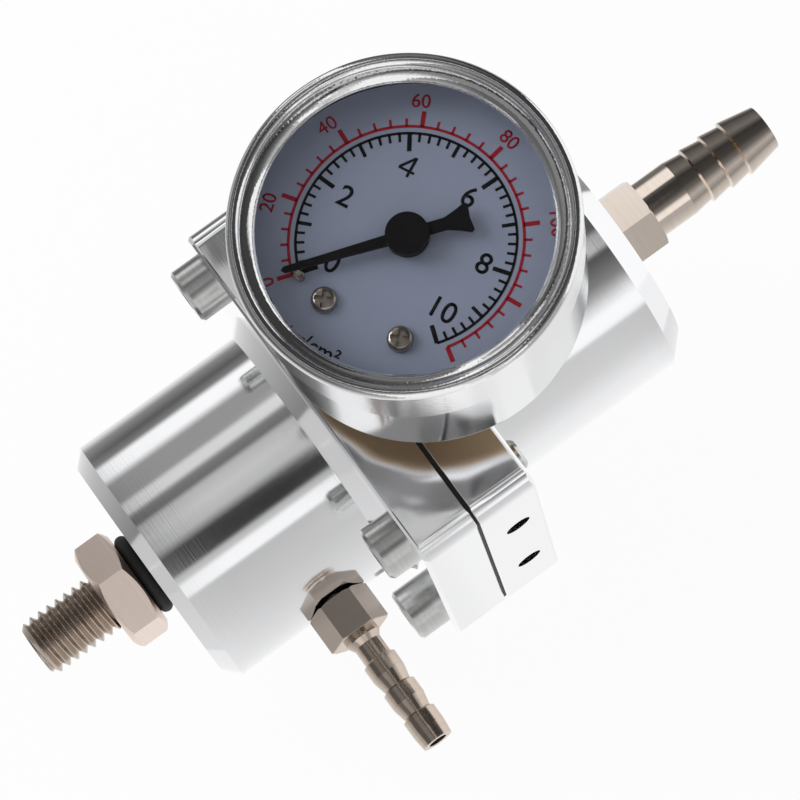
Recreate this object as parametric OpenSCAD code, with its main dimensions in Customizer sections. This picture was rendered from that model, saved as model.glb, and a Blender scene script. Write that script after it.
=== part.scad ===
// Fuel pressure regulator with a dial gauge.
// The main axis is upright (+Z towards the adjusting screw) and the gauge faces -Y.
// The origin is on the bracket face, midway between its two tapped holes.

/* [Flanges] */
// Width of the square flanges across flats
block_w = 49; // [46:0.5:56]
// Rounding of the flanges' upright corners
flange_corner_r = 2.5; // [1:0.1:3]
// Chamfer along the flanges' edges
flange_chamfer = 0.5; // [0.2:0.1:0.8]
// Chamfer along the flanges' edges at the seam
seam_chamfer = 0.15; // [0.05:0.05:0.4]
// Thickness of the bonnet's flange
bonnet_flange_t = 7.4; // [6:0.1:10]
// Thickness of the body's flange
body_flange_t = 8; // [7:0.1:10]
// Thickness of the diaphragm clamped between the flanges
diaphragm_t = 0.4; // [0.4:0.1:1]
// Distance between cap screws along one side
screw_pitch = 38.9; // [37.5:0.1:39.5]

/* [Bonnet] */
// Outside diameter of the round spring housing
bonnet_d = 33.9; // [32:0.1:36]
// Length of the spring housing above its flange
bonnet_l = 26.5; // [25:0.5:32]
// Chamfer at the end of the spring housing
bonnet_chamfer = 1.8; // [0.5:0.1:2.5]
// Height of the conical shoulder at the foot of the spring housing
shoulder_h = 2.0; // [1:0.1:3]
// Width of that shoulder
shoulder_w = 2.1; // [1:0.1:2.5]
// Diameter of the room for the main spring
spring_room_d = 26; // [25:0.5:28]
// Thickness of the wall that the adjusting screw passes through
bonnet_top_t = 4.1; // [3.5:0.1:5]
// Height of the vacuum port above the seam
vacuum_port_h = 18; // [16:0.5:20]

/* [Body] */
// Outside diameter of the round valve housing
body_d = 34; // [32:0.1:36]
// Length of the valve housing below its flange
body_l = 27; // [25:0.2:32]
// Chamfer at the end of the valve housing
body_chamfer = 2.7; // [0.5:0.1:3]
// Diameter of the fuel room under the diaphragm
fuel_room_d = 25; // [24:0.5:27]
// Depth of the fuel room below the seam
fuel_room_depth = 17; // [16:0.5:19]
// Distance of the gauge and inlet ports below the seam
port_drop = 10.9; // [10:0.1:12]
// Diameter of the bosses around the gauge and inlet ports
port_boss_d = 18; // [14:0.5:20]
// Diameter of the inlet port's thread
inlet_d = 8.8; // [8:0.1:9.6]
// Length of the inlet port's thread
inlet_l = 9; // [7:0.5:10]
// Diameter of the drilling from the inlet to the fuel room
inlet_drill_d = 6; // [4:0.5:7]
// Distance of the bracket holes below the seam
bracket_drop = 4.5; // [3.5:0.1:5]
// Distance between the bracket holes
bracket_pitch = 20; // [14:0.5:24]
// Diameter of the bracket holes
bracket_hole_d = 3.3; // [2.5:0.1:4]
// Depth of the bracket holes
bracket_hole_depth = 8; // [6:0.5:9]

/* [Adjusting screw and fasteners] */
// Outside diameter of the adjusting screw
screw_d = 7.6; // [7:0.1:8]
// Length of the adjusting screw that stands above the lock nut
screw_out = 10.2; // [8:0.2:14]
// Socket across flats in the end of the adjusting screw
screw_key = 4; // [3:0.5:4]
// Lock nut across flats
nut_af = 13; // [12:0.5:14]
// Thickness of the lock nut
nut_t = 4.9; // [4:0.1:7]
// Turn of the lock nut as tightened
nut_turn = 31.7; // [0:0.1:60]
// Outside diameter of the rubber washer
washer_d = 11; // [10.5:0.1:12]
// Thickness of the rubber washer
washer_t = 1.8; // [1:0.1:2.5]
// Length of the cap screws that stands out below the body's flange
cap_tip = 1; // [0.5:0.1:2]
// Thread diameter of the cap screws
cap_d = 4; // [3.5:0.1:4.5]
// Head diameter of the cap screws
cap_head_d = 7; // [6.5:0.1:7.6]
// Head height of the cap screws
cap_head_h = 4.1; // [3.8:0.1:5]
// Socket across flats in the cap screws
cap_key = 3; // [2.5:0.1:3.5]

/* [Barbs] */
// Fuel barb hex across flats
fuel_hex_af = 9; // [8.8:0.1:11]
// Fuel barb hex length
fuel_hex_l = 5.6; // [4:0.1:8]
// Turn of the fuel barb's hex as tightened
fuel_hex_turn = -12; // [-30:1:30]
// Diameter of the fuel barb's ridges
fuel_barb_d = 7.7; // [7.3:0.1:8]
// Diameter of the fuel barb's neck
fuel_neck_d = 7.5; // [7.2:0.1:8]
// Diameter at the foot of the fuel barb's ridges
fuel_valley_d = 6.9; // [6.5:0.1:7.2]
// Diameter of the fuel barb's mouth
fuel_mouth_d = 5.9; // [5.4:0.1:6.4]
// Length of the fuel barb's plain neck
fuel_neck_l = 5; // [3:0.1:6]
// Distance between the fuel barb's ridges
fuel_ridge_p = 2.85; // [2.4:0.05:3.4]
// Length of the fuel barb's tapered mouth
fuel_mouth_l = 4.9; // [3:0.1:6]
// Bore of the fuel barb
fuel_bore_d = 4.4; // [3.6:0.1:4.8]
// Thread diameter of the fuel barb
fuel_thread_d = 8; // [7.4:0.1:8.4]
// Thread length of the fuel barb
fuel_thread_l = 8; // [6:0.5:9]
// Vacuum barb hex across flats
vacuum_hex_af = 7.2; // [7:0.1:8.5]
// Vacuum barb hex length
vacuum_hex_l = 5; // [4:0.1:7]
// Diameter of the vacuum barb's ridges
vacuum_ridge_d = 4.4; // [4.2:0.1:5]
// Diameter of the vacuum barb's neck
vacuum_neck_d = 3.6; // [3.4:0.1:4]
// Distance between the vacuum barb's ridges
vacuum_ridge_p = 4.1; // [3.6:0.05:4.6]
// Bore of the vacuum barb
vacuum_bore_d = 2.4; // [1.8:0.1:2.6]
// Thread diameter of the vacuum barb
vacuum_thread_d = 5; // [4.5:0.1:5.5]

/* [Valve and spring] */
// Wire diameter of the main spring
spring_wire_d = 2.2; // [1.8:0.1:2.4]
// Mean diameter of the main spring
spring_mean_d = 18.6; // [18:0.2:19.4]
// Working turns of the main spring
spring_turns = 6; // [5:1:7]
// Thickness of the spring seat under the screw
seat_t = 2.2; // [1.8:0.1:3]
// Room left above the spring seat
seat_room = 4; // [3.5:0.1:4.4]
// Diameter of the plates that clamp the diaphragm
plate_d = 22; // [21.5:0.1:22.6]
// Thickness of those plates
plate_t = 1.8; // [1.4:0.1:2.2]
// Diameter of the stud through the diaphragm
stud_d = 5; // [4:0.1:6]
// Diameter of the valve's face
valve_d = 8; // [7.6:0.1:9]
// Height of the valve below its plate
valve_h = 2.4; // [2:0.1:3]
// Outside diameter of the valve seat tube
nozzle_d = 7; // [6.4:0.1:7.4]
// Bore of the valve seat tube
nozzle_bore_d = 4; // [3:0.1:4.4]
// Length of the valve seat tube pressed into the body
nozzle_press_l = 6; // [4:0.5:6.5]

/* [Gauge] */
// Outside diameter of the bezel's bead
gauge_d = 39.4; // [38.8:0.1:44]
// Distance of the gauge's front from the main axis
gauge_reach = 59.3; // [58.6:0.1:62]
// Depth from the gauge's front to the back of its case
gauge_depth = 26.3; // [25.4:0.1:27]
// Length of the bezel's skirt along the case
bezel_l = 10.1; // [8:0.1:13]
// Width of the bezel's front from its edge to the window
bezel_w = 3.1; // [2.8:0.1:3.6]
// Diameter of the rolled bead round the bezel's front
bead_d = 1.6; // [1.4:0.1:2]
// Wall of the case
case_wall = 0.7; // [0.5:0.1:0.9]
// Thickness of the lens
lens_t = 1; // [0.8:0.1:1.4]
// Depth of the dial behind the lens
dial_drop = 3.3; // [3.1:0.1:3.8]
// Thickness of the dial
dial_t = 0.4; // [0.3:0.05:0.6]
// Turn of the dial about the gauge's axis
dial_turn = -154.5; // [-180:0.5:180]
// Diameter of the gauge socket's thread
socket_thread_d = 9.7; // [8.9:0.1:9.7]
// Square of the gauge socket across flats
socket_af = 11; // [10:0.5:13]
// Length of the pointer from its hub to its tip
pointer_l = 14.5; // [13.6:0.1:15]
// Length of the pointer's tail
pointer_tail = 7.3; // [6:0.1:8.5]
// Width of the pointer's tail at its end
pointer_tail_w = 3.5; // [2.5:0.1:4]
// Diameter of the pointer's hub
pointer_hub_d = 4.9; // [4.4:0.1:5.4]
// Distance of the dial screws from the gauge's axis
dial_screw_r = 11.6; // [11.4:0.1:12.2]
// Head diameter of the dial screws
dial_screw_d = 3; // [2.8:0.1:3.4]
// Diameter of the stop pin
stop_pin_d = 1; // [0.8:0.1:1.4]

/* [Gauge movement] */
// Tooth module of the sector and the pinion
gear_module = 0.3; // [0.28:0.01:0.31]
// Teeth of the pinion on the pointer's arbor
pinion_teeth = 10; // [10:1:10]
// Sweep of the pointer over the whole scale
sweep = 270; // [240:5:270]
// Diameter of the pointer's arbor
arbor_d = 1.4; // [1.2:0.1:1.6]
// Diameter of the sector's pivot
pivot_d = 1.6; // [1.4:0.1:1.8]
// Length of the sector's tail
tail_l = 4; // [3.6:0.1:4.2]
// Mean diameter of the Bourdon tube's curve
bourdon_d = 25; // [24.5:0.1:26]
// Width of the flattened tube along the gauge's axis
bourdon_w = 4; // [3.4:0.1:4]
// Thickness of the flattened tube
bourdon_t = 1.4; // [1.2:0.1:1.6]

/* [Hidden] */
$fn = 96;

// Clearances
thread_gap = 0.05;   // between a thread's outside and its hole, radial
seat_gap = 0.05;     // between a face and the face it closes on
run_gap = 0.06;      // running fit of a small pivot, radial
room_gap = 0.35;     // round a moving piece in its room, radial
edge_inset = 0.3;    // diaphragm edge behind the flanges' sides
tip_bevel = 0.4;     // bevel on a screw's tip and head
nut_face = 0.95;     // round face of the nut, as a share of its width across flats
barb_face = 1.06;    // the same on the barbs' hexes
eps = 0.01;

// Levels on the main axis, counted from the middle of the diaphragm
flange_top = diaphragm_t/2 + bonnet_flange_t;
bonnet_end = flange_top + bonnet_l;
room_top = bonnet_end - bonnet_top_t;
flange_bottom = -diaphragm_t/2 - body_flange_t;
body_end = flange_bottom - body_l;
washer_top = bonnet_end + washer_t;
nut_top = washer_top + nut_t;
screw_top = nut_top + screw_out;
seat_top = room_top - seat_room;
seat_bottom = seat_top - seat_t;
spring_foot = diaphragm_t/2 + plate_t;
guide_h = 2;
valve_face = -diaphragm_t/2 - plate_t - valve_h;
nozzle_top = valve_face - seat_gap;
clearance_hole_d = cap_d + 0.5;
guide_d = spring_mean_d - spring_wire_d - 2*room_gap;

// Vacuum port: the hex closes on the round housing
vacuum_seat_x = bonnet_d/2 + 0.02;
vacuum_thread_l = vacuum_seat_x - spring_room_d/2 - 0.2;
vacuum_neck_l = 3.6;
vacuum_mouth_d = vacuum_ridge_d - 0.4;

// Levels on the gauge's axis, counted from the main axis
boss_face = block_w/2;
case_back = gauge_reach - gauge_depth;
bead_level = gauge_reach - bead_d/2;
lip_drop = 2;
lip_under = gauge_reach - lip_drop;
lip_t = 0.3;
lens_bottom = lip_under - lens_t;
seal_t = 0.8;
case_front = lens_bottom - seal_t;
skirt_bottom = gauge_reach - bezel_l;
dial_top = lens_bottom - dial_drop;
dial_bottom = dial_top - dial_t;
skirt_step = 0.3;
bezel_wall = 0.4;
case_d = gauge_d - 2*skirt_step - 2*bezel_wall - 0.2;
window_d = gauge_d - 2*bezel_w;
post_h = 5;
upper_deck_top = dial_bottom - post_h;
deck_t = 1;
deck_room = 5;
lower_deck_top = upper_deck_top - deck_t - deck_room;
socket_top = lower_deck_top - deck_t;
sector_z = lower_deck_top + 1.5;
sector_t = 1;
link_z = sector_z + sector_t + 0.3;
link_t = 0.8;
pin_top = link_z + link_t + 0.4;
bourdon_z = case_back + case_wall + 1 + bourdon_w/2;
pointer_z = dial_top + 1.2;
pointer_t = 0.4;

// Gear pair: the sector turns a sixth of the pointer's sweep
gear_ratio = 6;
sector_teeth = pinion_teeth*gear_ratio;
pinion_r = gear_module*pinion_teeth/2;
sector_r = pinion_r*gear_ratio;
centre_d = pinion_r + sector_r;
sector_sweep = sweep/gear_ratio;
zero_angle = 90 + sweep/2;           // pointer at zero, seen from the front, in the dial's own frame
tip_angle = -70;                     // Bourdon tip
root_angle = 185;                    // Bourdon root
pivot_place = centre_d*[cos(zero_angle), sin(zero_angle)];
tail_place = (centre_d + tail_l)*[cos(zero_angle), sin(zero_angle)];
tip_place = bourdon_d/2*[cos(tip_angle), sin(tip_angle)];
link_pin_d = 1;
root_half_w = 1.2;
deck_d = 16.4;
pivot_lobe_d = 5.2;
post_d = 3.4;
post_lobe_d = 4.8;
pillar_d = 2.4;
pillar_places = [[5.4, 4.4], [-3.6, 6.4]];
rest_angle = zero_angle - 1;         // the stop pin holds the pointer just above zero
stop_r = 12.7;
stop_angle = rest_angle + asin((stop_pin_d/2 + 0.48)/stop_r);
dial_screw_half_angle = 24.5;
dial_screw_places = [for (s = [-1, 1]) dial_screw_r*[cos(270 + s*dial_screw_half_angle),
                                                     sin(270 + s*dial_screw_half_angle)]];

// Frames
module at_seam() translate([block_w/2, 0, bracket_drop]) children();
module at_gauge() at_seam() translate([0, 0, -port_drop]) rotate([90, 0, 0]) children();
module at_dial() at_gauge() rotate([0, 0, dial_turn]) children();
module at_screws() for (x = [-1, 1], y = [-1, 1]) translate([x*screw_pitch/2, y*screw_pitch/2, 0]) children();

// Square with rounded corners, as true arcs
module rounded_square(w, r) {
    square([w, w - 2*r], center = true);
    square([w - 2*r, w], center = true);
    for (x = [-1, 1], y = [-1, 1]) translate([x*(w/2 - r), y*(w/2 - r)]) circle(r, $fn = 32);
}

// What a chamfer takes off a flange's edge at one level, on its sides and corners
module edge_cut(level, chamfer) {
    corner_reach = (block_w/2 - flange_corner_r)*sqrt(2) + flange_corner_r;
    for (a = [0:45:315]) rotate([0, 0, a]) translate([a % 90 == 0 ? block_w/2 : corner_reach, 0, level])
        rotate([0, 45, 0]) cube([chamfer*sqrt(2), block_w, chamfer*sqrt(2)], center = true);
}

// Square flange between two levels, with a chamfer at each
module flange(low, high, low_chamfer, high_chamfer) difference() {
    translate([0, 0, low]) linear_extrude(high - low) rounded_square(block_w, flange_corner_r);
    edge_cut(low, low_chamfer);
    edge_cut(high, high_chamfer);
}

// Hexagon by its width across flats
module hex(af, h) cylinder(d = af*1.1547, h = h, $fn = 6);

// Hex with its corners turned off down to a round face on the ends that ask for it
module turned_hex(af, h, face_d, top = true, bottom = true) {
    corner = af*0.57735;
    face = face_d/2;
    drop = (corner - face)*0.5774;
    intersection() {
        hex(af, h);
        rotate_extrude() polygon([[0, 0], [bottom ? face : corner, 0], [corner, bottom ? drop : 0],
                                  [corner, top ? h - drop : h], [top ? face : corner, h], [0, h]]);
    }
}

// Main housing
module bonnet() color([0.86, 0.87, 0.88]) at_seam() difference() {
    union() {
        flange(diaphragm_t/2, flange_top, seam_chamfer, flange_chamfer);
        rotate_extrude() polygon([[0, diaphragm_t/2], [bonnet_d/2 + shoulder_w, diaphragm_t/2],
                                  [bonnet_d/2 + shoulder_w, flange_top],
                                  [bonnet_d/2, flange_top + shoulder_h],
                                  [bonnet_d/2, bonnet_end - bonnet_chamfer],
                                  [bonnet_d/2 - bonnet_chamfer, bonnet_end], [0, bonnet_end]]);
    }
    cylinder(d = spring_room_d, h = room_top);
    cylinder(d = screw_d + 2*thread_gap, h = bonnet_end + eps);
    at_screws() cylinder(d = clearance_hole_d, h = flange_top + eps);
    translate([0, 0, vacuum_port_h]) rotate([0, -90, 0])
        cylinder(d = vacuum_thread_d + 2*thread_gap, h = bonnet_d);
}

module body() color([0.86, 0.87, 0.88]) at_seam() difference() {
    union() {
        flange(flange_bottom, -diaphragm_t/2, flange_chamfer, seam_chamfer);
        rotate_extrude() polygon([[0, body_end], [body_d/2 - body_chamfer, body_end],
                                  [body_d/2, body_end + body_chamfer], [body_d/2, -diaphragm_t/2],
                                  [0, -diaphragm_t/2]]);
        translate([0, block_w/2, -port_drop]) rotate([90, 0, 0]) cylinder(d = port_boss_d, h = block_w);
    }
    translate([0, 0, -fuel_room_depth]) cylinder(d = fuel_room_d, h = fuel_room_depth);
    translate([0, 0, body_end - eps]) cylinder(d = nozzle_bore_d, h = -body_end);
    translate([0, 0, -fuel_room_depth - nozzle_press_l])
        cylinder(d = nozzle_d + 2*thread_gap, h = fuel_room_depth);
    translate([0, 0, body_end - eps]) cylinder(d = fuel_thread_d + 2*thread_gap, h = fuel_thread_l + 1);
    translate([0, 0, -port_drop]) rotate([90, 0, 0])
        cylinder(d = socket_thread_d + 2*thread_gap, h = block_w/2 + eps);
    translate([0, 0, -port_drop]) rotate([-90, 0, 0]) {
        cylinder(d = inlet_drill_d, h = block_w/2);
        translate([0, 0, block_w/2 - inlet_l]) cylinder(d = inlet_d, h = inlet_l + eps);
    }
    at_screws() translate([0, 0, flange_bottom - eps])
        cylinder(d = cap_d + 2*thread_gap, h = body_flange_t + 1);
    for (y = [-1, 1]) translate([-block_w/2 - eps, y*bracket_pitch/2, -bracket_drop]) rotate([0, 90, 0])
        cylinder(d = bracket_hole_d, h = bracket_hole_depth);
}

module cap_screws() color([0.72, 0.74, 0.76]) at_seam() at_screws() difference() {
    tip = flange_bottom - cap_tip;
    head_top = flange_top + cap_head_h;
    rotate_extrude() polygon([[0, tip], [cap_d/2 - tip_bevel, tip], [cap_d/2, tip + tip_bevel],
                              [cap_d/2, flange_top], [cap_head_d/2, flange_top],
                              [cap_head_d/2, head_top - tip_bevel],
                              [cap_head_d/2 - tip_bevel, head_top], [0, head_top]]);
    translate([0, 0, flange_top + cap_head_h*0.45]) hex(cap_key, cap_head_h);
}

// Diaphragm and valve
module diaphragm() color([0.12, 0.12, 0.13]) at_seam() translate([0, 0, -diaphragm_t/2]) difference() {
    linear_extrude(diaphragm_t) rounded_square(block_w - 2*edge_inset, flange_corner_r);
    translate([0, 0, -eps]) {
        cylinder(d = stud_d + 2*thread_gap, h = diaphragm_t + 2*eps);
        at_screws() cylinder(d = clearance_hole_d, h = diaphragm_t + 2*eps);
    }
}

module upper_plate() color([0.75, 0.72, 0.62]) at_seam() translate([0, 0, diaphragm_t/2]) difference() {
    union() {
        cylinder(d = plate_d, h = plate_t);
        cylinder(d = guide_d, h = plate_t + guide_h);
    }
    translate([0, 0, -eps]) cylinder(d = stud_d + 2*thread_gap, h = plate_t + guide_h + 2*eps);
}

module valve_plate() color([0.78, 0.62, 0.35]) at_seam() {
    translate([0, 0, -diaphragm_t/2 - plate_t]) cylinder(d = plate_d, h = plate_t);
    translate([0, 0, valve_face]) cylinder(d = valve_d, h = valve_h + eps);
    translate([0, 0, -diaphragm_t]) cylinder(d = stud_d, h = diaphragm_t*1.5 + plate_t + guide_h);
}

module valve_seat() color([0.78, 0.62, 0.35]) at_seam() difference() {
    translate([0, 0, -fuel_room_depth - nozzle_press_l])
        cylinder(d = nozzle_d, h = nozzle_top + fuel_room_depth + nozzle_press_l);
    translate([0, 0, body_end]) cylinder(d = nozzle_bore_d, h = -body_end);
}

// One tube swept along a helix, between the plate and the spring seat
module main_spring() color([0.55, 0.57, 0.6]) at_seam() {
    sides = 8;
    steps = 12*spring_turns;
    rise = seat_bottom - spring_foot - spring_wire_d;
    wire_points = [for (i = [0:steps], k = [0:sides - 1])
        let (turn = 360*spring_turns*i/steps, r = (spring_mean_d + spring_wire_d*cos(360*k/sides))/2)
        [r*cos(turn), r*sin(turn),
         spring_foot + spring_wire_d/2 + rise*i/steps + spring_wire_d/2*sin(360*k/sides)]];
    skin = [for (i = [0:steps - 1], k = [0:sides - 1])
        let (n = (k + 1) % sides) [i*sides + k, (i + 1)*sides + k, (i + 1)*sides + n, i*sides + n]];
    ends = [[for (k = [0:sides - 1]) k], [for (k = [sides - 1:-1:0]) steps*sides + k]];
    polyhedron(wire_points, concat(skin, ends));
}

module spring_seat() color([0.6, 0.62, 0.65]) at_seam() difference() {
    union() {
        translate([0, 0, seat_bottom]) cylinder(d = spring_room_d - 2*room_gap, h = seat_t);
        translate([0, 0, seat_bottom - guide_h]) cylinder(d = guide_d, h = guide_h + eps);
    }
    translate([0, 0, seat_top - seat_t/2]) cylinder(d = screw_d - 2, h = seat_t);
}

// Adjusting screw: its nose sits in the spring seat's cup
module adjusting_screw() color([0.62, 0.58, 0.54]) at_seam() difference() {
    nose = seat_top - seat_t/2 + seat_gap;
    rotate_extrude() polygon([[0, nose], [screw_d/2 - 1.3, nose], [screw_d/2 - 1.3, seat_top + 1],
                              [screw_d/2, seat_top + 2.3], [screw_d/2, screw_top - 0.8],
                              [screw_d/2 - 0.8, screw_top], [0, screw_top]]);
    translate([0, 0, screw_top - screw_key]) hex(screw_key, screw_key + eps);
}

module lock_nut() color([0.66, 0.61, 0.56]) at_seam() translate([0, 0, washer_top]) difference() {
    rotate([0, 0, nut_turn]) turned_hex(nut_af, nut_t, nut_af*nut_face);
    translate([0, 0, -eps]) cylinder(d = screw_d + 2*thread_gap, h = nut_t + 2*eps);
}

module sealing_washer() color([0.06, 0.06, 0.06]) at_seam() translate([0, 0, bonnet_end]) rotate_extrude() {
    inner = screw_d/2 + room_gap;
    middle = washer_d/2 - washer_t/2;
    difference() {
        union() {
            translate([inner, 0]) square([max(middle - inner, eps), washer_t]);
            translate([middle, washer_t/2]) circle(d = washer_t, $fn = 48);
        }
        translate([0, -eps]) square([inner, washer_t + 2*eps]);
    }
}

// Barbs: each ridge is steep towards the hex and tapers towards the mouth
module fuel_barb() color([0.66, 0.6, 0.54]) at_seam() translate([0, 0, body_end]) rotate([180, 0, 0]) {
    first = fuel_hex_l + fuel_neck_l + 2.4;
    crest = fuel_barb_d/2;
    valley = fuel_valley_d/2;
    ridges = [for (i = [0:2]) each [[valley, first + i*fuel_ridge_p],
                                    [crest, first + i*fuel_ridge_p + 0.25]]];
    mouth = first + 2*fuel_ridge_p + fuel_mouth_l;
    difference() {
        union() {
            rotate([0, 0, fuel_hex_turn])
                turned_hex(fuel_hex_af, fuel_hex_l, fuel_hex_af*barb_face, bottom = false);
            rotate_extrude() polygon(concat([[0, -fuel_thread_l], [fuel_thread_d/2 - 0.5, -fuel_thread_l],
                [fuel_thread_d/2, 0.5 - fuel_thread_l], [fuel_thread_d/2, 0], [fuel_neck_d/2, 0],
                [fuel_neck_d/2, fuel_hex_l + fuel_neck_l]], ridges, [[fuel_mouth_d/2, mouth], [0, mouth]]));
        }
        translate([0, 0, -fuel_thread_l - eps]) cylinder(d = fuel_bore_d, h = fuel_thread_l + mouth + 2*eps);
    }
}

module vacuum_barb() color([0.62, 0.57, 0.51])
    at_seam() translate([0, 0, vacuum_port_h]) rotate([0, -90, 0]) translate([0, 0, vacuum_seat_x]) {
    first = vacuum_hex_l + vacuum_neck_l;
    crest = vacuum_ridge_d/2;
    neck = vacuum_neck_d/2;
    ridges = [for (i = [0:2]) each [[neck, first + i*vacuum_ridge_p], [crest, first + i*vacuum_ridge_p + 0.3],
                                    [crest, first + (i + 0.55)*vacuum_ridge_p]]];
    mouth = first + 3*vacuum_ridge_p + 0.1;
    difference() {
        union() {
            turned_hex(vacuum_hex_af, vacuum_hex_l, vacuum_hex_af*barb_face);
            rotate_extrude() polygon(concat([[0, -vacuum_thread_l], [vacuum_thread_d/2, -vacuum_thread_l],
                [vacuum_thread_d/2, 0], [neck + 0.5, 0], [neck + 0.5, vacuum_hex_l + 0.6],
                [neck, vacuum_hex_l + 1.4]],
                ridges, [[vacuum_mouth_d/2, mouth], [0, mouth]]));
        }
        translate([0, 0, -vacuum_thread_l - eps])
            cylinder(d = vacuum_bore_d, h = vacuum_thread_l + mouth + 2*eps);
    }
}

// Gauge housing
module gauge_socket() color([0.78, 0.62, 0.35]) at_gauge() {
    inside = fuel_room_d/2 + 1;
    neck_d = socket_af - 2;
    collar_w = 1.5;
    ear_w = 4;
    difference() {
        union() {
            translate([0, 0, inside]) cylinder(d = socket_thread_d, h = boss_face + 0.8 - inside);
            translate([-socket_af/2, -socket_af/2, boss_face + 0.6])
                cube([socket_af, socket_af, case_back - boss_face - 0.6]);
            translate([0, 0, case_back - eps]) cylinder(d = neck_d, h = socket_top - case_back + eps);
            translate([0, 0, case_back + case_wall]) cylinder(d = neck_d + 2*collar_w, h = 1);
            rotate([0, 0, dial_turn + root_angle]) translate([0, -ear_w/2, case_back + case_wall + 1 - eps])
                cube([bourdon_d/2 + root_half_w, ear_w, bourdon_w + eps]);
        }
        translate([0, 0, inside - eps]) cylinder(d = 3, h = bourdon_z - inside);
    }
}

module gauge_case() color([0.8, 0.81, 0.83]) at_gauge() difference() {
    edge_r = 1.6;
    rotate_extrude() {
        difference() {
            union() {
                translate([0, case_back + edge_r]) square([case_d/2, case_front - case_back - edge_r]);
                translate([0, case_back]) square([case_d/2 - edge_r, edge_r + eps]);
                translate([case_d/2 - edge_r, case_back + edge_r]) circle(edge_r, $fn = 48);
            }
            translate([-1, case_back + edge_r]) square([case_d/2 - case_wall + 1, case_front]);
            translate([-1, case_back + case_wall]) square([case_d/2 - edge_r + 1, edge_r]);
        }
    }
    translate([0, 0, case_back - eps]) cylinder(d = socket_af - 2 + 2*thread_gap, h = case_wall + 2*eps);
}

module gauge_bezel() color([0.82, 0.83, 0.85]) at_gauge() rotate_extrude() {
    skirt = gauge_d/2 - skirt_step;
    bead_r = gauge_d/2 - bead_d/2;
    roll_w = bezel_w - bead_d;
    roll_h = bead_level - lip_under - lip_t;
    // The rolled front is an arc that rises from the window's edge and levels off at the bead
    roll_r = (roll_w*roll_w + roll_h*roll_h)/(2*roll_h);
    roll_end = window_d/2 + roll_w;
    translate([skirt - bezel_wall, skirt_bottom]) square([bezel_wall, bead_level - skirt_bottom]);
    intersection() {
        translate([roll_end, bead_level - roll_r]) circle(roll_r);
        translate([window_d/2, lip_under]) square([roll_w, gauge_reach - lip_under]);
    }
    translate([roll_end - eps, lip_under]) square([skirt - roll_end + eps, bead_level - lip_under]);
    translate([bead_r, bead_level]) circle(d = bead_d, $fn = 48);
}

module lens_seal() color([0.1, 0.1, 0.1]) at_gauge() translate([0, 0, case_front]) difference() {
    cylinder(d = case_d, h = seal_t);
    translate([0, 0, -eps]) cylinder(d = case_d - 2*case_wall - 0.6, h = seal_t + 2*eps);
}

module gauge_lens() color([0.9, 0.95, 1, 0.3]) at_gauge() translate([0, 0, lens_bottom])
    cylinder(d = case_d, h = lens_t);

// Dial, its screws and the pointer
module gauge_dial() color([0.93, 0.94, 0.97]) at_dial() translate([0, 0, dial_bottom]) difference() {
    cylinder(d = case_d - 2*case_wall - 2*room_gap, h = dial_t);
    translate([0, 0, -eps]) {
        cylinder(d = arbor_d + 1, h = dial_t + 2*eps);
        for (p = dial_screw_places) translate(p) cylinder(d = dial_screw_d*0.55, h = dial_t + 2*eps);
    }
}

module dial_screws() color([0.6, 0.57, 0.52]) at_dial()
    for (p = dial_screw_places) translate([p.x, p.y, dial_top]) {
    head_r = dial_screw_d/2;
    head_h = dial_screw_d*0.36;
    edge_r = head_h*0.6;
    cross_l = dial_screw_d*0.72;
    cross_w = dial_screw_d*0.18;
    difference() {
        rotate_extrude() intersection() {
            square([head_r, head_h]);
            union() {
                square([head_r, head_h - edge_r]);
                square([head_r - edge_r, head_h]);
                translate([head_r - edge_r, head_h - edge_r]) circle(edge_r, $fn = 48);
            }
        }
        for (a = [0, 90]) rotate([0, 0, a + 20]) translate([-cross_l/2, -cross_w/2, head_h*0.3])
            cube([cross_l, cross_w, head_h]);
    }
    translate([0, 0, -dial_t - post_h*0.6]) cylinder(d = dial_screw_d*0.5, h = dial_t + post_h*0.6 + eps);
}

module stop_pin() color([0.6, 0.55, 0.5]) at_dial()
    translate([stop_r*cos(stop_angle), stop_r*sin(stop_angle), dial_top]) {
    cylinder(d = stop_pin_d, h = 1);
    cylinder(d = stop_pin_d*0.6, h = pointer_z + pointer_t + 0.6 - dial_top);
}

module pointer() color([0.05, 0.05, 0.05]) at_dial() rotate([0, 0, rest_angle]) translate([0, 0, pointer_z]) {
    needle = 0.7;
    tip = 0.35;
    flare = pointer_tail_w/2;
    half = [[pointer_l, 0], [pointer_l - tip, tip], [0, needle], [-pointer_tail*0.6, needle],
            [-pointer_tail*0.8, flare*0.7], [-pointer_tail + tip, flare],
            [-pointer_tail, flare*0.85], [-pointer_tail*0.98, 0]];
    difference() {
        union() {
            linear_extrude(pointer_t) for (s = [-1, 1]) polygon([for (p = half) [p.x, s*p.y]]);
            translate([0, 0, -0.4]) cylinder(d = pointer_hub_d, h = pointer_t + 1);
        }
        translate([0, 0, -1]) cylinder(d = arbor_d + 2*thread_gap, h = pointer_t + 1.4);
    }
}

// Gauge movement
// Straight-sided teeth between two angles, on a disc of the root's radius
module teeth_2d(pitch_r, teeth, first, last) {
    high = pitch_r + 0.75*gear_module;
    low = pitch_r - 1.15*gear_module;
    step = 360/teeth;
    for (i = [first:last]) rotate([0, 0, i*step])
        polygon([[low - 0.2, -0.62*gear_module], [pitch_r, -0.55*gear_module], [high, -0.28*gear_module],
                 [high, 0.28*gear_module], [pitch_r, 0.55*gear_module], [low - 0.2, 0.62*gear_module]]);
}

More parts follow.
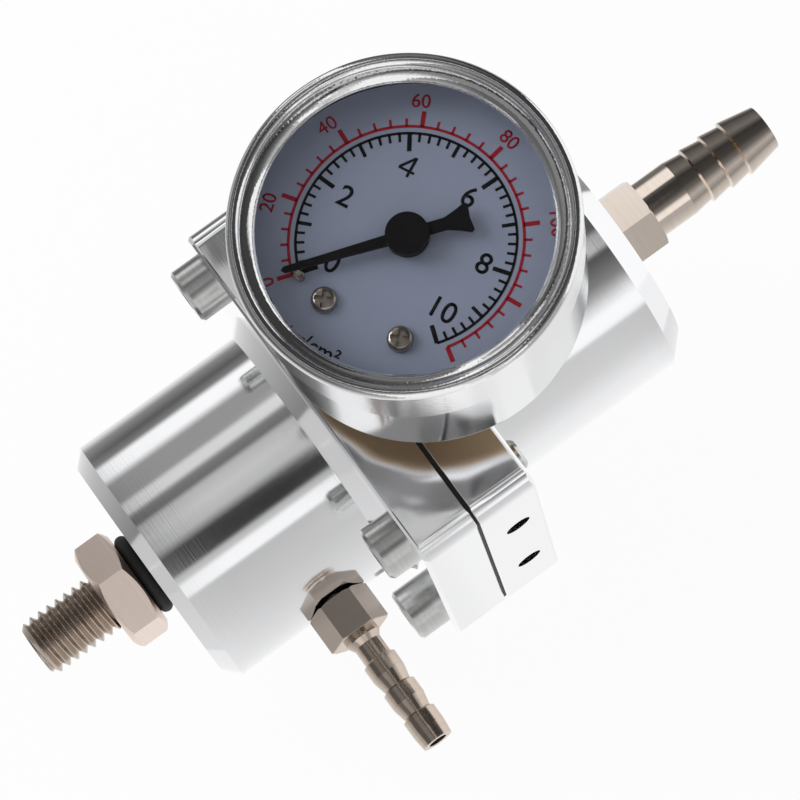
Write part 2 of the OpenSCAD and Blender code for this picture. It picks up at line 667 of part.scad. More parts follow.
module pointer_arbor() color([0.7, 0.66, 0.55]) at_dial() {
    translate([0, 0, socket_top + 0.2]) cylinder(d = arbor_d, h = pointer_z + 0.3 - socket_top - 0.2);
    rotate([0, 0, zero_angle]) translate([0, 0, sector_z - 0.4]) linear_extrude(sector_t + 0.8) {
        circle(pinion_r - 1.1*gear_module, $fn = 48);
        teeth_2d(pinion_r, pinion_teeth, 0, pinion_teeth - 1);
    }
}

module sector_gear() color([0.78, 0.62, 0.35]) at_dial() translate([pivot_place.x, pivot_place.y, 0]) {
    inward = zero_angle + 180;
    step = 360/sector_teeth;
    spare = 2;
    swept = ceil(sector_sweep/step);
    root_r = sector_r - 1.1*gear_module;
    arc_start = inward - (swept + spare + 0.5)*step;
    arc_end = inward + (spare + 0.5)*step;
    translate([0, 0, sector_z]) linear_extrude(sector_t) {
        rotate([0, 0, inward + step/2]) teeth_2d(sector_r, sector_teeth, -swept - spare, spare - 1);
        polygon(concat([[0, 0]], [for (i = [0:24]) root_r*[cos(arc_start + (arc_end - arc_start)*i/24),
                                                          sin(arc_start + (arc_end - arc_start)*i/24)]]));
        circle(1.8, $fn = 48);
        rotate([0, 0, zero_angle]) translate([0, -0.9]) square([tail_l, 1.8]);
        rotate([0, 0, zero_angle]) translate([tail_l, 0]) circle(0.9, $fn = 48);
    }
    translate([0, 0, socket_top + 0.2]) cylinder(d = pivot_d, h = upper_deck_top - socket_top, $fn = 48);
    rotate([0, 0, zero_angle]) translate([tail_l, 0, sector_z])
        cylinder(d = link_pin_d, h = pin_top - sector_z, $fn = 48);
}

module movement_link() color([0.72, 0.68, 0.58]) at_dial()
    translate([0, 0, link_z]) linear_extrude(link_t) difference() {
    run = tip_place - tail_place;
    union() {
        for (p = [tail_place, tip_place]) translate(p) circle(1.1, $fn = 48);
        translate(tail_place) rotate(atan2(run.y, run.x)) translate([0, -0.5]) square([norm(run), 1]);
    }
    for (p = [tail_place, tip_place]) translate(p) circle(d = link_pin_d + 2*run_gap, $fn = 48);
}

// Two decks on pillars; the upper one carries the dial on posts
module deck_2d() {
    circle(d = deck_d);
    translate(pivot_place) circle(d = pivot_lobe_d, $fn = 48);
    rotate(zero_angle) translate([0, -pivot_lobe_d/2]) square([centre_d, pivot_lobe_d]);
}

module movement_frame() color([0.78, 0.62, 0.35]) at_dial() difference() {
    reach = dial_screw_r*cos(dial_screw_half_angle);
    span = dial_screw_r*sin(dial_screw_half_angle) + post_lobe_d/2;
    union() {
        translate([0, 0, socket_top]) linear_extrude(deck_t) deck_2d();
        translate([0, 0, upper_deck_top - deck_t]) linear_extrude(deck_t) {
            deck_2d();
            translate([-span, -reach]) square([2*span, reach]);
            for (p = dial_screw_places) translate(p) circle(d = post_lobe_d, $fn = 48);
        }
        for (p = pillar_places) translate([p.x, p.y, socket_top])
            cylinder(d = pillar_d, h = upper_deck_top - socket_top);
        for (p = dial_screw_places) translate([p.x, p.y, upper_deck_top - eps])
            cylinder(d = post_d, h = post_h + eps);
    }
    translate([0, 0, socket_top - eps]) {
        cylinder(d = arbor_d + 2*run_gap, h = deck_room + 3*deck_t);
        translate(pivot_place) cylinder(d = pivot_d + 2*run_gap, h = deck_room + 3*deck_t);
    }
    for (p = dial_screw_places) translate([p.x, p.y, dial_bottom - post_h*0.7])
        cylinder(d = dial_screw_d*0.5 + 2*thread_gap, h = post_h);
}

module bourdon_tube() color([0.8, 0.66, 0.4]) at_dial() {
    root_half = asin(root_half_w/(bourdon_d/2));
    translate([0, 0, bourdon_z]) rotate([0, 0, tip_angle])
        rotate_extrude(angle = root_angle - tip_angle - root_half) translate([bourdon_d/2, 0]) {
            square([bourdon_t, bourdon_w - bourdon_t], center = true);
            for (s = [-1, 1]) translate([0, s*(bourdon_w - bourdon_t)/2]) circle(d = bourdon_t, $fn = 32);
        }
    translate([tip_place.x, tip_place.y, bourdon_z - bourdon_w/2]) {
        cylinder(d = 2.6, h = link_z - 0.3 - bourdon_z + bourdon_w/2, $fn = 48);
        cylinder(d = link_pin_d, h = pin_top - bourdon_z + bourdon_w/2, $fn = 48);
    }
}

bonnet();
body();
cap_screws();
diaphragm();
upper_plate();
valve_plate();
valve_seat();
main_spring();
spring_seat();
adjusting_screw();
lock_nut();
sealing_washer();
fuel_barb();
vacuum_barb();
gauge_socket();
gauge_case();
gauge_bezel();
lens_seal();
gauge_lens();
gauge_dial();
dial_screws();
stop_pin();
pointer();
pointer_arbor();
sector_gear();
movement_link();
movement_frame();
bourdon_tube();
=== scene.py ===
"""Looks of a fuel pressure regulator with a dial gauge.

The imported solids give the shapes. This script gives them their finish, cuts the adjusting screw's thread,
prints the gauge's dial, and sets up the studio and the camera. Lengths are in metres, except for the dial's
print and the camera's lens and sensor, which are in millimetres.
"""
import math

import bmesh
import bpy
from mathutils import Matrix, Quaternion, Vector


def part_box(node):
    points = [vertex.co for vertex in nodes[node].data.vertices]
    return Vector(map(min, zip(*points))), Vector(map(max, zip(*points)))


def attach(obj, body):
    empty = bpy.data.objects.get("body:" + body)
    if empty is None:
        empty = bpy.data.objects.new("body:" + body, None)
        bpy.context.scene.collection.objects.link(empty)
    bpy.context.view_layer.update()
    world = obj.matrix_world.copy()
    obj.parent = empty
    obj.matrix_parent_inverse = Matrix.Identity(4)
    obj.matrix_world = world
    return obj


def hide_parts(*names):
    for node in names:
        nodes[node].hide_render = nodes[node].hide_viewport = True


MM = 0.001
WHITE = (1, 1, 1, 1)

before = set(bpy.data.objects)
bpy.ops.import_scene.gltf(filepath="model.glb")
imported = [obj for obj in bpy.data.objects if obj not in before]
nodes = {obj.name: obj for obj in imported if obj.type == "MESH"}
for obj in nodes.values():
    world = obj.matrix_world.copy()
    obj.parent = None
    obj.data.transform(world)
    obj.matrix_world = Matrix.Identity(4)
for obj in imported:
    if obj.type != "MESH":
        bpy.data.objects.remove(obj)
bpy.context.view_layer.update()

# Places taken from the frame
screw_low, screw_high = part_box("adjusting_screw")
dial_low, dial_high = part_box("gauge_dial")
body_low, body_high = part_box("body")
case_low, case_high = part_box("gauge_case")
MAIN_AXIS = (screw_low + screw_high) / 2
SCREW_RADIUS = (screw_high.x - screw_low.x) / 2
DIAL_CENTRE = (dial_low + dial_high) / 2
DIAL_FACE = dial_low.y
CASE_RADIUS = (case_high.x - case_low.x) / 2
CASE_BACK = case_high.y
FLANGE_FRONT = body_low.y
BODY_BACK = body_high.y
VACUUM_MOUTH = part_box("vacuum_barb")[0].x

# Camera
CAMERA_PLACE = Vector((-0.10474, -0.5131, 0.0335))
CAMERA_TARGET = Vector((0.02345, 0.00018, 0.00175))
CAMERA_ROLL = math.radians(-125.76)
CAMERA_LENS = 195.17
CAMERA_SENSOR = 36.0
CAMERA_NEAR = 0.01
CAMERA_FAR = 20.0

# Studio
FLOOR_GAP = 1.0 * MM
FLOOR_SIZE = 3.0
FLOOR_COLOUR = (0.9, 0.9, 0.9, 1)
FLOOR_GLOW = 0.95
WORLD_LEVEL = 0.55
LAMP_PLACE = Vector((0.55, -0.42, 0.35))
LAMP_SIZE = 0.5
LAMP_POWER = 3.2

# Grey cards on a sphere round the part. Each tier has its lowest and highest elevation in degrees, then its
# greys by degrees from the camera's side, positive towards +X. It is named after what mostly mirrors it.
CARD_RADIUS = 0.9
CARD_STEP = 1.5
CARD_TIERS = (
    # Overhead, and above the part
    (76, 89.5, ((-180, 0.58), (180, 0.58))),
    (40, 76, ((-180, 0.85), (-90, 0.60), (-30, 0.25), (0, 0.12), (60, 0.12), (100, 0.20), (140, 0.50),
              (180, 0.85))),
    (12, 40, ((-180, 0.95), (-120, 0.80), (-80, 0.95), (-20, 0.95), (0, 0.25), (50, 0.22), (75, 0.10),
              (95, 0.45), (120, 0.30), (150, 0.60), (180, 0.95))),
    # Lock nut and adjusting screw
    (3.1, 12, ((-180, 1.0), (-110, 1.0), (-60, 0.72), (-28, 0.64), (0, 0.20), (15, 0.05), (55, 0.05),
               (80, 0.12), (100, 0.16), (140, 0.40), (170, 0.95), (180, 1.0))),
    # Bonnet and its flange
    (-2.2, 3.1, ((-180, 1.0), (-120, 0.75), (-60, 0.55), (-39, 0.50), (-36, 1.0), (-26, 1.0), (-23, 0.55),
                 (-19, 0.50), (-16, 0.02), (0, 0.03), (8, 0.50), (20, 0.60), (32, 0.50), (36, 0.15),
                 (44, 0.20), (48, 0.70), (56, 0.70), (60, 0.30), (80, 0.30), (88, 1.0), (102, 1.0),
                 (108, 0.20), (120, 0.10), (140, 0.25), (155, 0.70), (180, 1.0))),
    # Body and its flange
    (-8.7, -2.2, ((-180, 1.0), (-120, 0.85), (-90, 0.65), (-64, 0.60), (-61, 1.0), (-48, 1.0), (-34, 0.40),
                  (-24, 0.20), (-5, 0.08), (-1, 0.70), (9, 0.60), (14, 0.13), (46, 0.15), (50, 0.80),
                  (60, 0.80), (66, 0.30), (86, 0.35), (92, 1.0), (102, 1.0), (110, 0.20), (130, 0.15),
                  (150, 0.50), (170, 0.95), (180, 1.0))),
    # Fuel barb
    (-15, -8.7, ((-180, 0.95), (-120, 0.65), (-80, 0.47), (-62, 0.48), (-58, 1.0), (-42, 1.0), (-36, 0.80),
                 (-28, 0.25), (-12, 0.10), (0, 0.04), (32, 0.04), (47, 0.12), (52, 0.90), (56, 1.0),
                 (94, 1.0), (104, 0.60), (112, 0.18), (140, 0.18), (160, 0.50), (180, 0.95))),
    # Below, for the barbs' ridges
    (-40, -15, ((-180, 0.90), (-100, 0.55), (-80, 0.30), (-52, 0.50), (-25, 0.16), (0, 0.06), (38, 0.04),
                (66, 0.18), (124, 0.06), (150, 0.30), (180, 0.90))),
    (-65, -40, ((-180, 0.90), (-60, 0.95), (-15, 0.95), (5, 0.05), (110, 0.03), (140, 0.40), (180, 0.90))),
)

# Noise of the finishes. Scales are in waves per metre.
CLOUD_SCALE = 90.0
GRAIN_SCALE = 3200.0
GRAIN_DETAIL = 2.0
GRAINS_PER_CLOUD = 20

# Polishing waves on the flanges' fronts, full at the front and gone a little behind it
WAVE_SCALE = 110.0
WAVE_DETAIL = 1.0
WAVE_DEPTH = 3.5e-4
WAVE_FULL_TO = 0.05 * MM
WAVE_GONE_AT = 0.20 * MM

# Vacuum barb, from its mouth to its hex, which is darkened as painted shade
VACUUM_BARB_LENGTH = 16.0 * MM
PAINTED_SHADE_EDGE = 0.2 * MM

# Gauge bezel, whose front and skirt are told apart by their distance before the dial's face
BEZEL_FRONT_END = 4.4 * MM
BEZEL_SKIRT_START = 4.0 * MM
BEZEL_TINTS = ((0.93, 0.93, 0.935), (0.86, 0.86, 0.87))
BEZEL_FRONT_ROUGH = (0.02, 0.08)
BEZEL_SKIRT_ROUGH = (0.12, 0.20)
BEZEL_PIT_SCALE = 2600.0
BEZEL_PIT_DETAIL = 3.0
BEZEL_PIT_DEPTH = 1.4e-5
BEZEL_LINES_PER_METRE = 2200

# Gauge case, whose faces are told apart by their distance inwards from its outside and from its back
CASE_INSIDE_END = 0.40 * MM
CASE_OUTSIDE_START = 0.30 * MM
CASE_SIDE_END = 0.4 * MM
CASE_BACK_START = 0.1 * MM
CASE_TINTS = ((0.90, 0.905, 0.915), (0.86, 0.865, 0.875))
CASE_BACK_TINT = (0.56, 0.42, 0.28, 1)
CASE_INSIDE_ROUGH = 0.55
CASE_OUTSIDE_ROUGH = (0.08, 0.15)
CASE_LINES_PER_METRE = 1800
CASE_LINE_DEPTH = 8.0e-7

# Gauge lens, with a low index so that the black print stays dark behind it
LENS_IOR = 1.2

# Adjusting screw
PITCH = 1.25 * MM
THREAD_DEPTH = 0.70 * MM
THREAD_FLAT = 0.12  # share of half a pitch, at the crest and at the root
THREAD_SIDES = 72
ROWS_PER_PITCH = 16
NOSE_STEP = 1.3 * MM
NOSE_LENGTH = 2.05 * MM
TIP_CHAMFER = 0.8 * MM
SOCKET_WIDTH = 4.0 * MM
SOCKET_DEPTH = 4.0 * MM
SCREW_SMOOTH_ANGLE = math.radians(35)
SCREW_MERGE = 1e-6

# Dial print, in millimetres and in degrees counter-clockwise from +X as seen from the front
DIAL_UP = -64.5
ZERO_ANGLE = 70.5
DEGREES_PER_UNIT = -27.0
SCALE_END = 10
PSI_PER_UNIT = 14.223
PSI_END = 140
PRINT_LIFT = 0.005
PRINT_THICKNESS = 0.03
PRINT_SHIFT_Z = 0.35
ARC_STEP = 1.5

# Letters: how much bolder they are than the font, a digit's height in the font at size 1, and the distance
# at which their points merge
PRINT_WEIGHT = 0.008
DIGIT_HEIGHT = 0.7
LETTER_MERGE = 1e-5

# Inner scale. A tick has a step, a length and a width, and a numeral moves outwards, then round in degrees.
BLACK_ARC_R = 12.3
BLACK_ARC_W = 0.30
BLACK_TICKS_PER_UNIT = 5
BLACK_TICKS = ((10, 2.1, 0.50), (5, 1.6, 0.40), (1, 1.0, 0.30))
BLACK_NUMERAL_STEP = 2
BLACK_NUMERAL_R = 8.5
BLACK_NUMERAL_H = 2.45
BLACK_NUMERAL_MOVES = {8: (0.6, 1.3), 10: (0.7, 11.4)}
UNIT_WORDS = "kg/cm²"
UNIT_R = 15.9
UNIT_TURN = -12.0
UNIT_H = 1.75

# Outer scale, with the same form of ticks
RED_ARC_R = 13.1
RED_ARC_W = 0.32
RED_TICK_STEP = 4
RED_TICKS = ((20, 1.8, 0.50), (RED_TICK_STEP, 0.9, 0.28))
RED_NUMERAL_STEP = 20
RED_NUMERAL_END = 100
RED_NUMERAL_R = 16.1
RED_NUMERAL_H = 1.6
RED_NUMERAL_LEAD = 6.5
RED_NUMERAL_TURN = 0.08
RED_NUMERAL_LAST_OUT = 0.7

# The font's 4 closes up when it is made bolder, so the black 4 is made of plates and the red 40 stays thin
PLATE_NUMERAL = 4
THIN_NUMERAL = 40
FOUR_PLATES = (
    ((0.50, 0), (0.63, 0), (0.63, 1), (0.50, 1)),
    ((0.63, 0.22), (0.80, 0.22), (0.80, 0.34), (0.63, 0.34)),
    ((0, 0.22), (0.50, 0.22), (0.50, 0.34), (0.15, 0.34), (0, 0.36)),
    ((0, 0.36), (0.15, 0.34), (0.50, 0.80), (0.50, 1)),
)
FOUR_MIDDLE = Vector((0.40, 0.50))


# Node helpers
def add(tree, kind, inputs=None, **settings):
    """A shader node with its settings, and its inputs set or linked."""
    made = tree.nodes.new("ShaderNode" + kind)
    for name, value in settings.items():
        setattr(made, name, value)
    for name, value in (inputs or {}).items():
        if isinstance(value, bpy.types.NodeSocket):
            tree.links.new(value, made.inputs[name])
        else:
            made.inputs[name].default_value = value
    return made


def blank(name):
    """A material without nodes, and its node tree."""
    material = bpy.data.materials.new(name)
    material.use_nodes = True
    material.node_tree.nodes.clear()
    return material, material.node_tree


def surfaced(material, shader):
    """The material, with the shader as its surface."""
    add(material.node_tree, "OutputMaterial", {"Surface": shader.outputs[0]})
    return material


def maths(tree, operation, first, second):
    return add(tree, "Math", {0: first, 1: second}, operation=operation).outputs[0]


def mask(tree, value, start, end):
    """0 before start and 1 after end."""
    return add(tree, "MapRange", {"Value": value, "From Min": start, "From Max": end}).outputs["Result"]


def grey_range(tree, factor, low, high):
    """A number that goes from low to high with the factor."""
    return add(tree, "MapRange", {"Value": factor, "To Min": low, "To Max": high}).outputs["Result"]


def number_mix(tree, factor, first, second):
    return add(tree, "Mix", {"Factor": factor, "A": first, "B": second}).outputs["Result"]


def colour_mix(tree, factor, first, second):
    return add(tree, "Mix", {"Factor": factor, "A": first, "B": second}, data_type="RGBA").outputs["Result"]


def tint_range(tree, factor, first, second):
    """A colour between two tints."""
    return colour_mix(tree, factor, (*first, 1), (*second, 1))


def shader_mix(tree, factor, first, second):
    return add(tree, "MixShader", {0: factor, 1: first.outputs[0], 2: second.outputs[0]})


def object_place(tree):
    return add(tree, "TexCoord").outputs["Object"]


def place_along(tree, axis):
    """The place on the part along one axis."""
    return add(tree, "SeparateXYZ", {"Vector": object_place(tree)}).outputs[axis]


def turned_noise(tree, lines_per_metre, axis):
    """Lines that a lathe leaves: noise that changes along one axis only."""
    scaled = maths(tree, "MULTIPLY", place_along(tree, axis), lines_per_metre)
    inputs = {"W": scaled, "Scale": 1.0, "Detail": 4.0}
    return add(tree, "TexNoise", inputs, noise_dimensions="1D").outputs["Fac"]


def cloud_noise(tree, scale, detail=4.0):
    inputs = {"Vector": object_place(tree), "Scale": scale, "Detail": detail}
    return add(tree, "TexNoise", inputs).outputs["Fac"]


def fine_grain(tree):
    return cloud_noise(tree, GRAIN_SCALE, GRAIN_DETAIL)


def front_waves(tree):
    """Slow waves that polishing by hand leaves on the flanges' front faces."""
    along = place_along(tree, "Y")
    behind = mask(tree, along, FLANGE_FRONT + WAVE_FULL_TO, FLANGE_FRONT + WAVE_GONE_AT)
    front = maths(tree, "SUBTRACT", 1.0, behind)
    return maths(tree, "MULTIPLY", cloud_noise(tree, WAVE_SCALE, WAVE_DETAIL), front)


def bump(tree, height, depth, under=None):
    """The normal of a relief of a given depth, over another normal where there is one."""
    inputs = {"Height": height, "Distance": depth, "Strength": 1.0}
    if under is not None:
        inputs["Normal"] = under
    return add(tree, "Bump", inputs).outputs["Normal"]


# Materials
def metal(name, light, dark, rough, lines_per_metre, line_depth, axis="Z", relief=None, relief_depth=0.0,
          painted_shade=None):
    """Metal with turning lines: two close tints, a range of roughness, lines of a given depth and a relief.

    The last argument gives a place along the axis and two darker tints beyond it, which are painted shade.
    """
    material, tree = blank(name)
    lines = turned_noise(tree, lines_per_metre, axis)
    clouds = cloud_noise(tree, CLOUD_SCALE)
    normal = bump(tree, lines, line_depth)
    if relief:
        normal = bump(tree, relief(tree), relief_depth, normal)
    colour = tint_range(tree, lines, light, dark)
    # Beyond that place the colour is darkened as painted shade
    if painted_shade:
        start, tints = painted_shade
        beyond = mask(tree, place_along(tree, axis), start, start + PAINTED_SHADE_EDGE)
        colour = colour_mix(tree, beyond, colour, tint_range(tree, clouds, *tints))
    return surfaced(material, add(tree, "BsdfPrincipled", {
        "Base Color": colour,
        "Metallic": 1.0,
        "Roughness": grey_range(tree, clouds, *rough),
        "Normal": normal,
    }))


def coated(name, light, dark, rough, grain_scale, grain_depth, gloss=0.5):
    """Paint, rubber or ink: two close tints with a fine grain."""
    material, tree = blank(name)
    clouds = cloud_noise(tree, grain_scale / GRAINS_PER_CLOUD)
    grain = cloud_noise(tree, grain_scale, GRAIN_DETAIL)
    return surfaced(material, add(tree, "BsdfPrincipled", {
        "Base Color": tint_range(tree, clouds, light, dark),
        "Roughness": grey_range(tree, clouds, *rough),
        "Specular IOR Level": gloss,
        "Normal": bump(tree, grain, grain_depth),
    }))


def bezel_chrome():
    """Chrome with a lightly pitted rolled front and a satin skirt."""
    material, tree = blank("bezel_chrome")
    along = place_along(tree, "Y")
    skirt = mask(tree, along, DIAL_FACE - BEZEL_FRONT_END, DIAL_FACE - BEZEL_SKIRT_START)
    pits = cloud_noise(tree, BEZEL_PIT_SCALE, BEZEL_PIT_DETAIL)
    lines = turned_noise(tree, BEZEL_LINES_PER_METRE, "Y")
    front_rough = grey_range(tree, pits, *BEZEL_FRONT_ROUGH)
    skirt_rough = grey_range(tree, lines, *BEZEL_SKIRT_ROUGH)
    return surfaced(material, add(tree, "BsdfPrincipled", {
        "Base Color": tint_range(tree, pits, *BEZEL_TINTS),
        "Metallic": 1.0,
        "Roughness": number_mix(tree, skirt, front_rough, skirt_rough),
        "Normal": bump(tree, pits, BEZEL_PIT_DEPTH),
    }))


def case_steel():
    """Steel cup: polished outside, matt inside, with a warm back."""
    material, tree = blank("case_steel")
    place = object_place(tree)
    from_axis = add(tree, "VectorMath", {0: place, 1: DIAL_CENTRE}, operation="SUBTRACT").outputs[0]
    across = add(tree, "VectorMath", {0: from_axis, 1: (1, 0, 1)}, operation="MULTIPLY").outputs[0]
    radius = add(tree, "VectorMath", {0: across}, operation="LENGTH").outputs["Value"]
    outside = mask(tree, radius, CASE_RADIUS - CASE_INSIDE_END, CASE_RADIUS - CASE_OUTSIDE_START)
    back = mask(tree, place_along(tree, "Y"), CASE_BACK - CASE_SIDE_END, CASE_BACK - CASE_BACK_START)
    lines = turned_noise(tree, CASE_LINES_PER_METRE, "Y")
    silver = tint_range(tree, lines, *CASE_TINTS)
    outside_rough = grey_range(tree, lines, *CASE_OUTSIDE_ROUGH)
    return surfaced(material, add(tree, "BsdfPrincipled", {
        "Base Color": colour_mix(tree, back, silver, CASE_BACK_TINT),
        "Metallic": 1.0,
        "Roughness": number_mix(tree, outside, CASE_INSIDE_ROUGH, outside_rough),
        "Normal": bump(tree, lines, CASE_LINE_DEPTH),
    }))


def lens_glass():
    """Clear glass that lets light through to the dial."""
    material, tree = blank("lens_glass")
    glass = add(tree, "BsdfPrincipled", {
        "Base Color": WHITE, "Roughness": 0.0, "IOR": LENS_IOR, "Transmission Weight": 1.0,
    })
    path = add(tree, "LightPath")
    light_ray = maths(tree, "MAXIMUM", path.outputs["Is Shadow Ray"], path.outputs["Is Diffuse Ray"])
    return surfaced(material, shader_mix(tree, light_ray, glass, add(tree, "BsdfTransparent")))


def card_grey():
    """The cards' material: each card's own grey."""
    material, tree = blank("card_grey")
    level = add(tree, "Attribute", attribute_name="level").outputs["Fac"]
    return surfaced(material, add(tree, "Emission", {"Color": WHITE, "Strength": level}))


def floor_white():
    """A white table that keeps a soft shadow. From behind it is clear."""
    material, tree = blank("floor_white")
    matt = add(tree, "BsdfDiffuse", {"Color": FLOOR_COLOUR})
    glow = add(tree, "Emission", {"Color": WHITE, "Strength": 1.0})
    camera_ray = add(tree, "LightPath").outputs["Is Camera Ray"]
    front = shader_mix(tree, maths(tree, "MULTIPLY", camera_ray, FLOOR_GLOW), matt, glow)
    behind = add(tree, "NewGeometry").outputs["Backfacing"]
    return surfaced(material, shader_mix(tree, behind, front, add(tree, "BsdfTransparent")))


# Mesh helpers
def mesh_piece(name, shape, material, smooth_angle=None):
    """A new object from a bmesh, with its material."""
    mesh = bpy.data.meshes.new(name)
    bmesh.ops.recalc_face_normals(shape, faces=shape.faces)
    shape.to_mesh(mesh)
    shape.free()
    mesh.materials.append(material)
    piece = bpy.data.objects.new(name, mesh)
    bpy.context.scene.collection.objects.link(piece)
    if smooth_angle is not None:
        mesh.shade_smooth()
        mesh.set_sharp_from_angle(angle=smooth_angle)
    return piece


def axis_point(r, angle, z):
    """A point at a distance and an angle round the main axis."""
    return MAIN_AXIS.x + r * math.cos(angle), MAIN_AXIS.y + r * math.sin(angle), z


def axis_angle(place):
    """The angle of a point round the main axis."""
    return math.atan2(place.y - MAIN_AXIS.y, place.x - MAIN_AXIS.x)


# Studio
def make_world():
    """White where it is seen, and a plain level of light elsewhere."""
    world = bpy.data.worlds.new("studio")
    bpy.context.scene.world = world
    world.use_nodes = True
    tree = world.node_tree
    tree.nodes.clear()
    path = add(tree, "LightPath")
    seen = path.outputs["Is Camera Ray"]
    for kind in ("Is Glossy Ray", "Is Transmission Ray"):
        seen = maths(tree, "MAXIMUM", seen, path.outputs[kind])
    white = add(tree, "Background", {"Color": WHITE, "Strength": 1.0})
    light = add(tree, "Background", {"Color": WHITE, "Strength": WORLD_LEVEL})
    add(tree, "OutputWorld", {"Surface": shader_mix(tree, seen, light, white).outputs[0]})


def make_floor():
    """The table that the part lies on, behind it as the gauge faces the camera."""
    shape = bmesh.new()
    half = FLOOR_SIZE / 2
    level = BODY_BACK + FLOOR_GAP
    corners = [(-half, level, -half), (half, level, -half), (half, level, half), (-half, level, half)]
    shape.faces.new([shape.verts.new(c) for c in corners])
    floor = mesh_piece("floor", shape, floor_white())
    if floor.data.polygons[0].normal.y > 0:
        floor.data.flip_normals()
    floor.visible_glossy = False


def tier_grey(stops, angle):
    """A tier's grey at an angle, between its stops."""
    for (start, first), (end, last) in zip(stops, stops[1:]):
        if start <= angle <= end:
            return first + (last - first) * (angle - start) / (end - start)


def make_cards():
    """Grey cards that the metal and the lens show. The camera doesn't see them."""
    material = card_grey()
    camera_side = axis_angle(CAMERA_PLACE)
    steps = round(360 / CARD_STEP)
    for number, (low, high, stops) in enumerate(CARD_TIERS):
        shape = bmesh.new()
        level = shape.verts.layers.float.new("level")
        columns = []
        for i in range(steps + 1):
            angle = -180 + 360 * i / steps
            turn = camera_side + math.radians(angle)
            column = []
            for elevation in (math.radians(low), math.radians(high)):
                out = CARD_RADIUS * math.cos(elevation)
                up = CARD_RADIUS * math.sin(elevation)
                v = shape.verts.new(axis_point(out, turn, up))
                v[level] = tier_grey(stops, angle)
                column.append(v)
            columns.append(column)
        for a, b in zip(columns, columns[1:]):
            shape.faces.new((a[0], b[0], b[1], a[1]))
        card = mesh_piece(f"card_{number}", shape, material)
        card.visible_camera = False
        card.visible_diffuse = False
        card.visible_shadow = False


def make_lamp():
    data = bpy.data.lights.new("softbox", "AREA")
    data.size = LAMP_SIZE
    data.energy = LAMP_POWER
    lamp = bpy.data.objects.new("softbox", data)
    lamp.location = LAMP_PLACE
    lamp.rotation_mode = "QUATERNION"
    lamp.rotation_quaternion = (MAIN_AXIS - LAMP_PLACE).to_track_quat("-Z", "Y")
    lamp.visible_glossy = False
    bpy.context.scene.collection.objects.link(lamp)


def make_camera():
    data = bpy.data.cameras.new("camera")
    data.lens = CAMERA_LENS
    data.sensor_width = CAMERA_SENSOR
    data.clip_start = CAMERA_NEAR
    data.clip_end = CAMERA_FAR
    camera = bpy.data.objects.new("camera", data)
    aim = (CAMERA_TARGET - CAMERA_PLACE).to_track_quat("-Z", "Y")
    camera.rotation_mode = "QUATERNION"
    camera.rotation_quaternion = aim @ Quaternion((0, 0, 1), CAMERA_ROLL)
    camera.location = CAMERA_PLACE
    bpy.context.scene.collection.objects.link(camera)
    bpy.context.scene.camera = camera


# Adjusting screw
def screw_limit(z):
    """Radius of the blank that the thread is cut on."""
    from_nose = z - screw_low.z - NOSE_LENGTH
    from_tip = screw_high.z - z
    nose = SCREW_RADIUS - NOSE_STEP + max(0.0, min(from_nose, NOSE_STEP))
    tip = SCREW_RADIUS - TIP_CHAMFER + max(0.0, min(from_tip, TIP_CHAMFER))
    return min(nose, tip)


def thread_cut(share):
    """Depth of the thread's V at a share of one pitch, with a flat crest and root."""
    away = abs(2 * share - 1)
    return THREAD_DEPTH * max(0.0, min(1.0, (away - THREAD_FLAT) / (1 - 2 * THREAD_FLAT)))


def socket_radius(angle):
    """Distance from the axis to the hex socket's wall."""
    sixth = math.pi / 3
    return SOCKET_WIDTH / 2 / math.cos(angle % sixth - sixth / 2)


def close_screw(shape):
    """The nose's flat end, and the hex socket in the tip."""
    def ring(z):
        edges = [e for e in shape.edges if e.is_boundary]
        found = {v for e in edges for v in e.verts if abs(v.co.z - z) < SCREW_MERGE}
        return sorted(found, key=lambda v: axis_angle(v.co))

    def socket_ring(around, z):
        angles = [axis_angle(v.co) for v in around]
        return [shape.verts.new(axis_point(socket_radius(a), a, z)) for a in angles]

    def join(outer, inner):
        for i in range(len(outer)):
            j = (i + 1) % len(outer)
            shape.faces.new((outer[i], outer[j], inner[j], inner[i]))

    shape.faces.new(ring(screw_low.z))
    rim = ring(screw_high.z)
    mouth = socket_ring(rim, screw_high.z)
    foot = socket_ring(rim, screw_high.z - SOCKET_DEPTH)
    join(rim, mouth)
    join(mouth, foot)
    shape.faces.new(foot)


def make_screw(material):
    """The screw with its thread, as columns of points that each start a little higher than the last."""
    shape = bmesh.new()
    rows = math.ceil((screw_high.z - screw_low.z) / PITCH + 1) * ROWS_PER_PITCH
    first_z = screw_low.z - PITCH
    columns = []
    for k in range(THREAD_SIDES + 1):
        angle = 2 * math.pi * k / THREAD_SIDES
        column = []
        for i in range(rows + 1):
            z = first_z + PITCH * (i / ROWS_PER_PITCH + k / THREAD_SIDES)
            z = max(screw_low.z, min(screw_high.z, z))
            r = screw_limit(z)
            if z not in (screw_low.z, screw_high.z):
                r = min(r, SCREW_RADIUS - thread_cut((i % ROWS_PER_PITCH) / ROWS_PER_PITCH))
            column.append(shape.verts.new(axis_point(r, angle, z)))
        columns.append(column)
    for a, b in zip(columns, columns[1:]):
        for i in range(rows):
            shape.faces.new((a[i], b[i], b[i + 1], a[i + 1]))
    bmesh.ops.remove_doubles(shape, verts=shape.verts, dist=SCREW_MERGE)
    bmesh.ops.dissolve_degenerate(shape, edges=shape.edges, dist=SCREW_MERGE)
    close_screw(shape)
    piece = mesh_piece("threaded_screw", shape, material, SCREW_SMOOTH_ANGLE)
    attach(piece, "screw")
    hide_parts("adjusting_screw")


# Dial print
def dial_point(x, y, lift):
    """A point of the print from its place on the dial, in millimetres seen from the front."""
    return Vector((DIAL_CENTRE.x + x * MM, DIAL_FACE - lift * MM, DIAL_CENTRE.z + (y + PRINT_SHIFT_Z) * MM))


